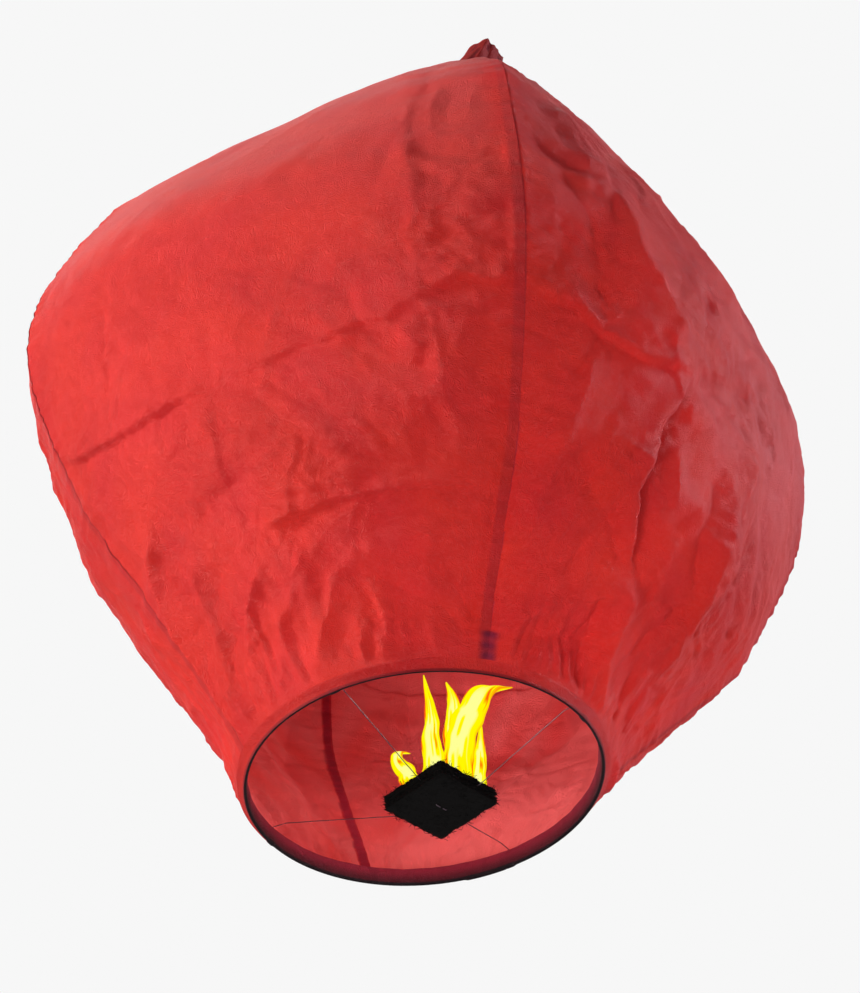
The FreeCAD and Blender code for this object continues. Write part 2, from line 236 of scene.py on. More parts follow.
# %% [markdown]
# ## Materials
# Tissue paper is one shader with painted values: `layers` where the paper lies double,
# `crinkle` where it is creased finely, `pale` for a painted highlight and sheen on the outer
# face, and one more for a painted pool of light on the inner face.
# A photo texture would be quicker, but nodes stay sharp at any distance. Thin paper lets some
# light through, so a little Translucent is mixed with the Principled shader; full refraction
# would cost much more time and look no different on so thin a sheet.


# %% Materials
def tissue(name, base, deep, doubled, fibre_and_painted_light, glow):
    s = Shader(name)
    where = s.add("UVMap", settings={"uv_map": "UVMap"})
    cloud = s.add("TexNoise", Vector=where, Scale=14.0, Detail=3.0)
    fibre = s.add("TexNoise", Vector=where, Scale=330.0, Detail=4.0, Roughness=0.7)
    crease = s.add("TexVoronoi", settings={"feature": "DISTANCE_TO_EDGE"}, Scale=52.0, Vector=s.add(
        "VectorMath", settings={"operation": "ADD"}, i0=where,
        i1=s.add("TexNoise", out=1, Vector=where, Scale=24.0, Detail=2.0)))
    small = s.add("TexVoronoi", settings={"feature": "DISTANCE_TO_EDGE"}, Scale=150.0, Vector=s.add(
        "VectorMath", settings={"operation": "ADD"}, i0=where,
        i1=s.add("TexNoise", out=1, Vector=where, Scale=70.0, Detail=2.0)))
    fine = s.add("TexNoise", Vector=where, Scale=115.0, Detail=3.0, Roughness=0.55)
    colour = s.mix(s.ramp(cloud, 0.35, 0.68), base, deep)
    # The paler pink serves twice: as a fibre tone that varies at random, and as painted light in the next
    # steps.
    colour = s.mix(s.maths("MULTIPLY", s.ramp(fibre, 0.45, 0.75), 0.14), colour, fibre_and_painted_light)
    # Painted highlight and sheen: the paper is mixed towards pale pink where light falls on it.
    colour = s.mix(s.maths("MULTIPLY", s.value("pale"), 0.8), colour, fibre_and_painted_light)
    # Painted pool of light, on the inner faces only.
    inner = s.maths("MULTIPLY", s.value("inner_pale"), s.add("NewGeometry", out=6))
    colour = s.mix(s.maths("MULTIPLY", inner, 0.85), colour, fibre_and_painted_light)
    colour = s.mix(s.value("layers"), colour, doubled)
    s.set(s.surface, "Base Color", colour)
    s.set(s.surface, "Roughness", 0.55)
    s.set(s.surface, "Specular IOR Level", 0.22)
    amount = s.maths("MULTIPLY", s.value("crinkle"), 0.9)
    height = s.maths("ADD", s.maths("MULTIPLY", s.ramp(crease, 0.0, 0.34), 0.85),
                     s.maths("MULTIPLY", fine, 0.9))
    height = s.maths("ADD", s.maths("MULTIPLY", s.ramp(small, 0.0, 0.3), 0.22), height)
    height = s.maths("MULTIPLY", height, s.maths("ADD", amount, 0.75))
    bump = s.add("Bump", Height=height, Strength=0.75, Distance=0.0013)
    s.set(s.surface, "Normal", bump)
    through = s.add("BsdfTranslucent", Color=colour, Normal=bump)
    both = s.nodes.new("ShaderNodeMixShader")
    s.set(both, 0, glow)
    s.links.new(s.surface.outputs[0], both.inputs[1])
    s.links.new(through, both.inputs[2])
    s.links.new(both.outputs[0], s.output.inputs["Surface"])
    return s.material


PAPER = tissue("tissue_paper", (0.84, 0.030, 0.020), (0.76, 0.022, 0.024),
               (0.26, 0.014, 0.045), (0.86, 0.16, 0.16), 0.13)
# The knot's copy of the tissue is darker all over: painted shade on the bunched paper.
KNOT = tissue("gathered_tissue", (0.62, 0.036, 0.030), (0.50, 0.026, 0.026),
              (0.24, 0.014, 0.026), (0.66, 0.10, 0.09), 0.12)


def plain(name, colour, roughness, metallic=0.0, grain=0.0, scale=400.0, shine=0.5):
    s = Shader(name)
    s.set(s.surface, "Roughness", roughness)
    s.set(s.surface, "Metallic", metallic)
    s.set(s.surface, "Specular IOR Level", shine)
    where = s.add("TexCoord", out=3)
    noise = s.add("TexNoise", Vector=where, Scale=scale, Detail=3.0)
    s.set(s.surface, "Base Color", s.mix(noise, colour, tuple(c * 0.55 for c in colour)))
    if grain:
        s.set(s.surface, "Normal", s.add("Bump", Height=noise, Strength=grain, Distance=0.0006))
    return s.material


HOOP = plain("black_hoop_wire", (0.016, 0.012, 0.016), 0.42, 0.3)
WIRE = plain("dull_tie_wire", (0.10, 0.07, 0.085), 0.45, 0.75)
CHAR = plain("charred_fibre", (0.004, 0.0034, 0.0032), 0.95, 0.0, 0.9, 900.0, 0.12)
STAGE = plain("pale_floor", (0.86, 0.86, 0.85), 0.8, scale=3.0)


def flame_material():
    s = Shader("flame")
    s.nodes.remove(s.surface)
    colour = s.mix(s.ramp(s.value("warmth"), 0.0, 0.5), (1.0, 0.12, 0.003), (1.0, 0.93, 0.0))
    colour = s.mix(s.ramp(s.value("warmth"), 0.86, 1.0), colour, (1.0, 1.0, 0.30))
    s.links.new(s.add("Emission", Color=colour, Strength=1.0), s.output.inputs["Surface"])
    return s.material


FLAME = flame_material()

FLOOR_HALF, FLOOR_LEVEL = 6000, -4700
floor = add_mesh("floor", [(FLOOR_HALF * x, FLOOR_HALF * y, FLOOR_LEVEL)
                           for x, y in ((-1, -1), (1, -1), (1, 1), (-1, 1))], [(0, 1, 2, 3)], STAGE)
for node in ("hoop", "hoop_splice"):
    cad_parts[node].data.materials.clear()
    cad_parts[node].data.materials.append(HOOP)
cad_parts["fuel_staple"].data.materials.clear()
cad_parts["fuel_staple"].data.materials.append(WIRE)
print("materials:", [m.name for m in bpy.data.materials])

# %% [markdown]
# ## The envelope's outline
# The same stations as the CAD: height, seam radius and mid-panel radius, joined by a curve
# that can't overshoot. Each gore is an arc from seam to seam. The whole envelope leans, tilts
# and twists a little as it rises. A real one takes its shape from hot air pressing out on four
# flat-cut panels. Cloth with pressure could find it, but wouldn't match the CAD to a millimetre.

# %% Outline
HOOP_RADIUS, HEM_TOP, HEM_OUT, TOP = 150.0, 14.0, 8.0, 724.0
HEIGHTS = np.array([0, 45, 112, 210, 368, 525, 615, 724.0])
SEAMS = np.array([153.5, 179, 228, 298, 349, 297.5, 191, 30])
BULGES = np.array([0, 43.4, 52.8, 72.3, 69.2, 26.6, 22.9, 3.4])
PANELS = np.where(HEIGHTS > 0, SEAMS * math.cos(math.pi / 4) + BULGES, SEAMS)
LEAN, TWIST, TILT = (60.0, -112.0), -11, (-9.1, 10)  # mm at the top, degrees at the top, degrees
TILT_STARTS_AT = 217


def along_outline(values, z):
    steps = np.diff(values) / np.diff(HEIGHTS)
    inner = [0.0 if a * b <= 0 else 2 * a * b / (a + b) for a, b in zip(steps, steps[1:])]
    g = np.array([steps[0], *inner, steps[-1]])
    z = np.clip(z, 0, TOP)
    i = np.clip(np.searchsorted(HEIGHTS, z, side="right") - 1, 0, len(HEIGHTS) - 2)
    w = HEIGHTS[i + 1] - HEIGHTS[i]
    f = (z - HEIGHTS[i]) / w
    return (values[i] * (1 + 2 * f) * (1 - f) ** 2 + g[i] * w * f * (1 - f) ** 2
            + values[i + 1] * f * f * (3 - 2 * f) + g[i + 1] * w * f * f * (f - 1))


def skin(gore, u, z, shift=None):
    """Points on the envelope: u runs 0 to 1 across a gore, z is the height before tilting."""
    if shift is None:
        seam, panel = along_outline(SEAMS, z), along_outline(PANELS, z)
        ease = np.sin(np.pi / 2 * np.clip((z - HEM_OUT) / (TILT_STARTS_AT - HEM_OUT), 0, 1))
    else:
        seam = panel = HOOP_RADIUS + shift
        ease = 0.0
    gore, u = np.broadcast_arrays(gore, u)
    gore, u = np.where(u < 0, gore - 1, gore), np.where(u < 0, u + 1, u)
    middle = np.radians((gore + 0.5) * 90)
    chord = seam * math.sin(math.pi / 4)
    rise = panel - seam * math.cos(math.pi / 4)
    radius = (chord ** 2 + rise ** 2) / (2 * rise)
    a = (2 * u - 1) * np.arctan2(chord, radius - rise)
    out, side = panel - radius + radius * np.cos(a), radius * np.sin(a)
    x = np.sin(middle) * out + np.cos(middle) * side
    y = -np.cos(middle) * out + np.sin(middle) * side
    share = np.clip(z / TOP, 0, 1)
    t = np.radians(TWIST * share)
    x, y = x * np.cos(t) - y * np.sin(t), x * np.sin(t) + y * np.cos(t)
    tilt = math.sin(math.radians(TILT[0])) * x + math.sin(math.radians(TILT[1])) * y
    return np.stack([x + LEAN[0] * share ** 2, y + LEAN[1] * share ** 2,
                     z + ease * (1 - share ** 6) * tilt], -1)


def normals_of(points):
    """Unit normals of a grid of points, outward for rows that climb and columns that turn."""
    across = np.gradient(points, axis=1)
    up = np.gradient(points, axis=0)
    n = np.cross(across, up)
    return n / np.maximum(np.linalg.norm(n, axis=-1, keepdims=True), 1e-9)


print("envelope height", TOP, "mm, widest seam radius", SEAMS.max(), "mm")

# %% [markdown]
# ## Creases
# Each crease is a line on a gore, as (u, height) points, with its kind, depth and width in
# millimetres. A ridge stands out, a valley sinks in, and a tuck steps: sharp on one side and
# long on the other, as a fold that has slipped over itself. Bump in a material can't change an
# outline or cast a shadow, so the folds that can be seen are moved points.

# %% Crease lines and folds
CREASES = {
    3: [("tuck", 4.6, 17, [(0.0, 236), (0.095, 222), (0.223, 217), (0.323, 221), (0.42, 225)]),
        ("tuck", 1.8, 15, [(0.42, 225), (0.537, 234), (0.675, 252), (0.77, 263), (0.848, 284)]),
        ("tuck", 4.2, 11, [(0.848, 284), (0.888, 298), (0.945, 292), (0.995, 297)]),
        ("ridge", 2.8, 13, [(0.845, 278), (0.86, 239), (0.885, 186), (0.915, 152), (0.978, 100)]),
        ("tuck", 3.0, 14, [(0.40, 118), (0.478, 125), (0.63, 131), (0.833, 138), (0.978, 148)]),
        ("valley", 2.0, 9, [(0.69, 243), (0.765, 231), (0.86, 221)]),
        ("valley", 2.4, 12, [(0.233, 344), (0.22, 297), (0.22, 264)]),
        ("valley", 2.0, 9, [(0.228, 310), (0.278, 283)]),
        ("ridge", 1.8, 12, [(0.807, 511), (0.812, 425), (0.83, 365), (0.81, 328)]),
        ("ridge", 4.0, 10, [(0.012, 10), (0.012, 76), (0.048, 123), (0.165, 158)]),
        ("ridge", 3.6, 10, [(0.045, 11), (0.138, 66), (0.203, 124)]),
        ("ridge", 3.6, 10, [(0.16, 12), (0.247, 61), (0.395, 105)]),
        ("ridge", 3.2, 10, [(0.278, 10), (0.378, 63), (0.535, 109)]),
        ("ridge", 2.6, 9, [(0.42, 10), (0.50, 55), (0.60, 90)]),
        ("valley", 2.6, 9, [(0.983, 24), (0.845, 49), (0.688, 74), (0.56, 86)]),
        ("valley", 2.4, 9, [(0.98, 34), (0.875, 68), (0.753, 101)]),
        ("valley", 2.0, 11, [(0.25, 140), (0.36, 156), (0.48, 160)]),
        ("ridge", 2.4, 12, [(0.0, 227), (0.058, 175), (0.092, 139), (0.043, 116)]),
        ("valley", 1.8, 8, [(0.855, 423), (0.92, 411), (0.998, 422)]),
        ("valley", 1.8, 8, [(0.838, 360), (0.915, 351), (0.993, 363)]),
        ("valley", 1.8, 8, [(0.843, 328), (0.915, 336), (0.993, 328)]),
        ("valley", 2.2, 10, [(0.885, 186), (0.93, 199), (1.0, 208)])],
    0: [("tuck", 4.0, 13, [(0.0, 297), (0.095, 293), (0.145, 283), (0.233, 283), (0.352, 295)]),
        ("valley", 3.0, 20, [(0.352, 295), (0.463, 317), (0.633, 352)]),
        ("ridge", 5.0, 26, [(0.12, 540), (0.177, 442), (0.225, 366), (0.352, 295)]),
        ("valley", 2.4, 14, [(0.03, 470), (0.098, 416), (0.138, 368), (0.147, 296)]),
        ("tuck", -6.5, 34, [(0.352, 295), (0.297, 238), (0.28, 184), (0.38, 125)]),
        ("ridge", 3.6, 20, [(0.145, 283), (0.1, 207), (0.072, 158), (0.043, 93)]),
        ("valley", 3.4, 16, [(0.115, 194), (0.203, 162), (0.38, 125)]),
        ("ridge", 5.0, 22, [(0.585, 308), (0.542, 221), (0.593, 156), (0.705, 82)]),
        ("valley", 3.6, 14, [(0.49, 252), (0.49, 188), (0.565, 149)]),
        ("ridge", 3.0, 12, [(0.007, 26), (0.15, 64), (0.315, 98), (0.415, 124)]),
        ("valley", 2.4, 10, [(0.007, 26), (0.247, 49), (0.443, 70)]),
        ("ridge", 4.2, 14, [(0.38, 125), (0.427, 77), (0.532, 12)]),
        ("valley", 3.2, 10, [(0.305, 103), (0.355, 64), (0.388, 17)]),
        ("ridge", 4.0, 26, [(0.30, 520), (0.40, 440), (0.522, 393)])],
    1: [("ridge", 3.5, 15, [(0.95, 20), (0.80, 150), (0.86, 320)]),
        ("valley", 3.5, 16, [(0.62, 16), (0.55, 140), (0.40, 300)]),
        ("ridge", 4.0, 20, [(0.12, 30), (0.25, 210), (0.22, 420)]),
        ("tuck", 3.4, 18, [(0.05, 260), (0.35, 300), (0.72, 280), (0.98, 300)])],
    2: [("ridge", 3.5, 14, [(0.06, 20), (0.10, 150), (0.04, 300)]),
        ("valley", 3.2, 12, [(0.15, 16), (0.20, 130), (0.16, 280)]),
        ("ridge", 3.4, 14, [(0.30, 16), (0.33, 140), (0.42, 300)]),
        ("valley", 3.4, 16, [(0.62, 20), (0.60, 170), (0.70, 330)]),
        ("tuck", 3.2, 18, [(0.02, 330), (0.40, 350), (0.80, 330)])],
}


def crease_height(kind, depth, width, line, across, climb, to_plane):
    """Displacement by one crease over a grid of (across, climb) positions in millimetres."""
    knots = [to_plane(u, z) for u, z in line]
    lengths = [math.dist(a, b) for a, b in zip(knots, knots[1:])]
    total, gone = sum(lengths), 0.0
    nearest = np.full(across.shape, 1e9)
    signed, place = np.zeros(across.shape), np.zeros(across.shape)
    for (ax, ay), (bx, by), length in zip(knots, knots[1:], lengths):
        dx, dy = (bx - ax) / length, (by - ay) / length
        t = np.clip((across - ax) * dx + (climb - ay) * dy, 0, length)
        ox, oy = across - ax - dx * t, climb - ay - dy * t
        d = np.hypot(ox, oy)
        closer = d < nearest
        nearest = np.where(closer, d, nearest)
        signed = np.where(closer, np.copysign(d, dx * oy - dy * ox), signed)
        place = np.where(closer, (gone + t) / total, place)
        gone += length
    fade = np.clip(np.minimum(place, 1 - place) * 6 + 0.15, 0, 1)
    if kind == "tuck":
        far = np.abs(signed)
        shape = np.where(signed > 0, np.exp(-far / width), -0.35 * np.exp(-far / (width * 0.45)))
        shape = shape * (1 - np.exp(-far / 2.6))
    else:
        shape = np.exp(-(np.sqrt(nearest ** 2 + 3.0) - 1.7) / width) * (1 if kind == "ridge" else -1)
    return 2.1 * depth * fade * shape


def folds(x, y, seed, wavelength):
    """Straight paper folds in several directions, broken up by noise; about -1 to 1."""
    total = np.zeros_like(x)
    for k in range(4):
        a = seed * 1.7 + k * 0.83
        warp = noise2(x / (wavelength * 2.3), y / (wavelength * 2.3), seed * 7 + k) * 1.6
        phase = (x * math.cos(a) + y * math.sin(a)) / wavelength + warp
        saw = np.abs(phase - np.floor(phase) - 0.5) * 4 - 1
        mask = smooth(noise2(x / (wavelength * 1.6), y / (wavelength * 1.6), seed * 13 + k) * 2.2 + 0.25)
        total += saw * mask
    return total / 2.2


def small_creases(gore, count):
    """Short random creases: level beside the front seam, slanting elsewhere."""
    chance = np.random.default_rng(500 + gore)
    made = []
    for _ in range(count):
        u, z = chance.uniform(0.04, 0.96), 30 + 560 * chance.random() ** 1.25
        reach = chance.uniform(0.03, 0.10)
        if gore == 3 and u > 0.78:
            slope = chance.normal(0, 25)
        else:
            slope = chance.normal(0, 55) + (40 if u < 0.5 else -40)
        if gore == 3 and u < 0.78 and z > 300:
            continue
        bend = chance.normal(0, 7)
        line = [(u - reach / 2, z - slope / 2), (u, z + bend), (u + reach / 2, z + slope / 2)]
        line = [(min(max(a, 0.01), 0.99), max(b, 14)) for a, b in line]
        made.append((chance.choice(["tuck", "valley", "ridge"], p=[0.5, 0.3, 0.2]),
                     chance.uniform(0.5, 1.5), chance.uniform(4, 10), line))
    return made


print("creases:", {g: len(c) for g, c in sorted(CREASES.items())})

# %% [markdown]
# ## The four gores
# A gore is one panel of tissue, glued along its edges to the next. Every gore here is a fine
# grid over the outline, with its lap tucked under its neighbour. It is
# pushed in and out along its own normal: broad slackness, straight folds, the creases above,
# pleats that gather into the hoop, and puckers along the glued seams.

# %% One gore's panel
COLUMNS, ROWS = ((200, 310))
LAP = 9.0


def gore_panel(gore):
    rise = np.linspace(0, 1, ROWS)
    z = (HEM_OUT + (TOP - HEM_OUT) * (0.35 * rise ** 2 + 0.65 * rise))[:, None]
    width = along_outline(SEAMS, z) * math.pi / 2 * 1.02
    lap = np.minimum(LAP / width, 0.18)
    u = -lap + (1 + lap) * np.linspace(0, 1, COLUMNS)[None, :]
    z = np.broadcast_to(z, u.shape)
    base = skin(gore, u, z)
    normal = normals_of(base)
    middle = skin(gore, np.full(ROWS, 0.5), z[:, 0])
    climb_at = np.concatenate([[0], np.cumsum(np.linalg.norm(np.diff(middle, axis=0), axis=-1))])
    climb = np.broadcast_to(climb_at[:, None], u.shape)
    across = (u - 0.5) * width

    def to_plane(pu, pz):
        wide = along_outline(SEAMS, np.array(pz, float)) * math.pi / 2 * 1.02
        return float((pu - 0.5) * wide), float(np.interp(pz, z[:, 0], climb_at))

    seam_gap = np.minimum(np.abs(u), np.abs(1 - u)) * width
    free = np.where(u > 0.5, np.maximum(seam_gap - LAP - 1, 0), np.where(u < 0, 0, seam_gap))
    inside = smooth(free / 26)
    low = smooth((z - HEM_OUT) / 14)
    high = 1 - 0.7 * smooth((z - 600) / 110)
    seed = 11 + gore
    x, y = across + gore * 900, climb
    crinkle = np.clip(0.45 + 1.1 * noise2(x / 120, y / 120, seed + 3), 0.12, 1)
    if gore == 3:  # the left face is smooth high up and crinkled beside the front seam
        crinkle = crinkle * (1 - 0.75 * smooth((z - 290) / 70) * smooth((0.80 - u) / 0.05))
        crinkle = np.maximum(crinkle, 0.70 * smooth((u - 0.80) / 0.04) * (1 - 0.5 * smooth((z - 430) / 90)))
    body = 4.5 * noise2(x / 210, y / 210, seed) + 2.2 * noise2(x / 75, y / 75, seed + 1)
    body += (1.2 + 3.8 * crinkle) * folds(x, y, seed, 52.0)
    body += (2.2 * crinkle * (1 - 0.6 * smooth((z - 380) / 80)) * folds(x + 71, y, seed + 5, 21.0)
             + 0.8 * crinkle * folds(x, y + 31, seed + 8, 8.0))
    push = body * inside
    wander = [6 * noise2(x / 38 + k * 50, y / 38, seed + 21)
              + 2 * noise2(x / 11, y / 11 + k * 50, seed + 22) for k in (0, 1)]
    for kind, depth, wide, line in CREASES[gore] + small_creases(gore, 90):
        push = push + crease_height(kind, depth, wide, line, across + wander[0], climb + wander[1],
                                    to_plane) * smooth(free / 7)
    push = push * (0.72 if gore == 3 else 1.0)
    pleat = noise2(u * 26 + noise2(u * 5, z / 60, seed) * 1.5, z / 160, seed + 9)
    push = push + 6.5 * pleat * np.exp(-(z - HEM_OUT) / 62) * smooth(free / 14)
    seam_id = np.where(u < 0.5, gore, gore + 1) % 4
    pucker = noise2(z / 6.0, seam_id * 9.0 + 0.5, 5) + 0.6 * noise2(z / 16, seam_id * 7.0 + 0.5, 6)
    push = push + 2.3 * pucker * np.exp(-seam_gap / 24)
    if gore == 0:  # a loose lobe hangs outside the hoop beside the right seam
        push = push + 6 * np.exp(-((across - 0.44 * width) / 34) ** 2) * np.exp(-((z - 19) / 11) ** 2)
    push = push * low * high
    if gore == 0:  # the right face is drawn in below the knot
        push = push - 11 * np.exp(-((z - 682) / 30) ** 2) * smooth(free / 30)
    push = push - np.where(u < 0, 0.7 + 0.09 * seam_gap, 0.0)
    points = base + normal * push[..., None]
    doubled = np.maximum(smooth(1.5 - np.abs(u * width + LAP / 2) / (LAP / 2 + 0.5)) * (u < 0.001) * 0.8,
                         smooth((u - 1 + LAP / width) * width / 2 + 0.4) * (u > 0.5) * 0.16)
    if gore in (0, 3):  # the front seam's foot is folded over more than once
        foot = smooth((34 - z) / 3) * smooth(1.3 - seam_gap / 8)
        foot = foot * ((u > 0.5) if gore == 3 else (u < 0.5))
        doubled = np.maximum(doubled, foot * (0.85 + 0.15 * np.sin(z * 0.7)))
    # The paper is also made darker towards the top, under the crown knot.
    doubled = np.maximum(doubled, 0.45 * smooth((z - 665) / 60))
    # Painted highlight: the paper is paler high up, where light falls from above, and a little more so on the
    # left face.
    pale = np.clip(0.35 * smooth((z - 330) / 260) + (0.05 if gore == 3 else 0.0), 0, 1) * inside
    # On the right face, a painted sheen grows towards its right-hand seam.
    if gore == 0:
        pale = np.maximum(pale, 0.45 * smooth((u - 0.35) / 0.3) * smooth((z - 180) / 120)) * inside
    # Painted pool of light on the inner face: mottled, low down, and on gore 1 ending along a straight line
    # like a shadow's edge.
    inner = np.clip(0.62 + 0.6 * noise2(x / 30, y / 90, seed + 30), 0, 1) * smooth((420 - z) / 120)
    if gore == 1:
        inner = np.maximum(inner, 0.95 * smooth(((0.965 - u) / 0.517 * 220 + 4 - z) / 18 + 0.5))
    uv = np.stack([(across + gore * 700) * MM, climb * MM], -1).reshape(-1, 2)
    obj = add_mesh(f"gore_paper_{gore}", points.reshape(-1, 3), grid_faces(ROWS, COLUMNS), PAPER, uv,
                   layers=doubled, crinkle=crinkle, pale=pale, inner_pale=inner * (u >= 0))
    return obj, float(width.max() + LAP), float(climb_at[-1])


# %% [markdown]
# ## The hem
# Below the panel the paper runs round the hoop wire and up inside it. It hugs the wire, so
# the wire reads as a thin dark line; over the splice it swells. A torus would be simpler, but
# a rolled section shows the paper's edge and joins the panel without a step.

# %% The hem, and the four gores placed
SPLICE_TURN, SPLICE_HALF = 50.0 + 90.0, 6.5


def gore_hem(gore):
    columns = 150
    lap = LAP / (HOOP_RADIUS * math.pi / 2)
    u = -lap + (1 + lap) * np.linspace(0, 1, columns)[None, :]
    turn = (gore + u) * 90
    over = smooth((SPLICE_HALF + 1.2 - np.abs((turn - SPLICE_TURN + 180) % 360 - 180)) / 1.2)
    tie = np.min([np.abs((turn - k + 180) % 360 - 180) for k in (41.5, 131.5, 221.5, 311.5)], axis=0)
    over = np.maximum(over, 0.9 * smooth((2.2 - tie) / 1.1))
    wrap = 1.48 + 0.82 * over + 0.10 * noise2(turn * 1.9, turn * 0, 3) + 0.06 * noise2(turn * 6, turn * 0, 4)
    rows, heights, dark, doubled = [], [], [], []
    for z in np.linspace(HEM_TOP, 1.6, 9):
        share = smooth(np.array((z - 1.6) / (HEM_TOP - 4)))
        wave = 0.8 * noise2(turn / 5.5, turn * 0 + z / 9, 8) * share
        rows.append(-(wrap + (3.0 - wrap) * share) + wave)
        heights.append(np.full_like(turn, z))
        # The inner leg darkens towards the wire: painted shade inside the mouth.
        dark.append(0.15 + 0.6 * (1 - share))
        doubled.append(0.86)
    for a in np.linspace(0.0, math.pi, 13):
        rows.append(-wrap * math.cos(a))
        heights.append(-wrap * math.sin(a))
        # Darkest round the wire's inner side and bottom: the black wire shows through the tissue, and the
        # inner side has painted shade too.
        dark.append(1.0 if a < 2.35 else 0.35)
        doubled.append(1.0 if a < 2.35 else 0.3)
    start = along_outline(SEAMS, np.array(HEM_OUT)) - HOOP_RADIUS
    for z in np.linspace(1.3, HEM_OUT, 6):
        share = (z / HEM_OUT) ** 1.3
        rows.append(wrap + (start - wrap) * share)
        heights.append(np.full_like(turn, z))
        dark.append(0.0)
        doubled.append(0.05)
    shift, z = np.concatenate(rows), np.concatenate(heights)
    points = skin(gore, np.broadcast_to(u, shift.shape), z, shift)
    last = skin(gore, u, np.full_like(u, HEM_OUT))
    points[-1] = last[0]
    layers = np.broadcast_to(np.array(doubled)[:, None], shift.shape)
    ink = np.broadcast_to(np.array(dark)[:, None], shift.shape)
    uv = np.stack([np.broadcast_to(turn * 2.6 * MM, shift.shape),
                   np.broadcast_to(np.arange(len(rows))[:, None] * MM * 1.4, shift.shape)], -1)
    return add_mesh(f"gore_hem_{gore}", points.reshape(-1, 3), grid_faces(len(rows), columns), HEM,
                    uv.reshape(-1, 2), layers=layers, ink=ink, pale=layers * 0, crinkle=layers * 0 + 1)


def hem_material():
    """The tissue shader with one more painted value that darkens it: the black wire showing through the
    tissue, and painted shade on the hem's inside.
    """
    s = Shader("hem_paper", copied=PAPER)
    colour = s.surface.inputs["Base Color"].links[0].from_socket
    darkened = s.mix(s.value("ink"), colour, (0.012, 0.006, 0.010))
    s.links.new(darkened, s.surface.inputs["Base Color"])
    through = next(n for n in s.nodes if n.type == "BSDF_TRANSLUCENT")
    s.links.new(darkened, through.inputs["Color"])
    return s.material


HEM = hem_material()
# The flat width and length of each gore's paper with its hem and lap, in metres.
HEM_PAPER = 26  # length of paper in the hem
for gore in range(4):
    panel, width, length = gore_panel(gore)
    hem = gore_hem(gore)
    for piece in (panel, hem):
        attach(piece, "frame")
        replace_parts(piece, f"gore_{gore}")
    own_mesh(panel)
    flat = (round(width * MM, 3), round((length + HEM_PAPER) * MM, 3))
    print(panel.name, "flat", flat, "triangles", 2 * (ROWS - 1) * (COLUMNS - 1))

# %% [markdown]
# ## The crown knot
# The gores' tops are bunched, folded over and glued. The bunch is a pleated tube that
# narrows, leans and ends in a flat crushed top. Folding real layers would take a simulation;
# a tube whose radius is pleated by noise reads the same at this size.

# %% Crown knot
KNOT_BASE, KNOT_HEIGHT = TOP - 4.0, 26.0


def crown_knot():
    rings, around = 46, 160
    turn = np.linspace(0, 2 * math.pi, around, endpoint=False)
    edge = np.zeros((around, 3))
    for k in range(around):
        q = turn[k] / (math.pi / 2)
        edge[k] = skin(int(q) % 4, np.array(q % 1), np.array(TOP))
    centre = np.array([*LEAN, TOP])
    lean = np.array([math.sin(math.radians(23)), -math.cos(math.radians(23)), 0]) * 31
    points, layers_and_hollow_shade = [], []
    for s in np.linspace(0, 1, rings):
        grow = 1 - 0.36 * s ** 1.3
        pleats = (0.35 * np.sin(turn * 7 + 2.2 * s + np.sin(turn * 3))
                  + 1.2 * noise2(turn * 2.9 + 40, turn * 0 + s * 2.2, 21))
        flat = 1 + 0.16 * s * np.cos(2 * turn + 0.9)
        size = grow * flat * (1 + (0.03 + 0.10 * s) * pleats)
        ring = (edge - centre) * size[:, None] + centre + lean * s
        ring[:, 2] = KNOT_BASE + KNOT_HEIGHT * s + 1.2 * s * noise2(turn * 1.7, turn * 0 + 3, 22)
        points.append(ring)
        # Darker where the pleats dip inward: painted shade in the hollows; also a little darker towards the
        # top.
        layers_and_hollow_shade.append(0.12 + 0.5 * (pleats < -0.3) + 0.1 * s)
    top = centre + lean + np.array([0, 0, KNOT_BASE + KNOT_HEIGHT - TOP - 2.5])
    for s in (0.72, 0.42, 0.16):
        ring = (points[rings - 1] - top) * s + top
        ring[:, 2] = top[2] + 2.0 * s + 2.4 * noise2(turn * 2.4, turn * 0 + s * 5, 23)
        points.append(ring)
        layers_and_hollow_shade.append(np.full(around, 0.4))
    grid = np.array(points)
    uv = np.stack(np.broadcast_arrays(turn[None, :] * 22 * MM, np.arange(len(grid))[:, None] * 1.1 * MM), -1)
    faces = grid_faces(len(grid), around, ring=True)
    faces.append(list(range((len(grid) - 1) * around, len(grid) * around)))
    layers = np.array(layers_and_hollow_shade)
    return add_mesh("crown_knot_paper", grid.reshape(-1, 3), faces, KNOT, uv.reshape(-1, 2),
                    layers=layers, crinkle=layers * 0 + 1, pale=layers * 0)


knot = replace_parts(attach(crown_knot(), "crown"), "crown_knot")
print("crown knot points", len(knot.data.vertices))

# %% [markdown]
# ## Wires across the mouth
# Each wire runs from a tie on the hoop, over the hem's edge, down to the fuel pad and across
# to the other side. The spans follow the pad as it lifts; the ties stay on the hoop. A curve
# with a bevel would do for one wire, but points of our own can be squashed with the joint.

# %% Wire spans
WIRE_RADIUS, TIE_RADIUS, EXIT = 0.35, 1.71, 15.15
PAD = np.array([13.0, 1.0, -17.0])
WIRE_TURN, EDGE_RUN, EDGE_DROP, SEAT_REACH = 41.0, 16, 1.5, 37


def toward(degrees):
    return np.array([math.sin(math.radians(degrees)), -math.cos(math.radians(degrees)), 0.0])


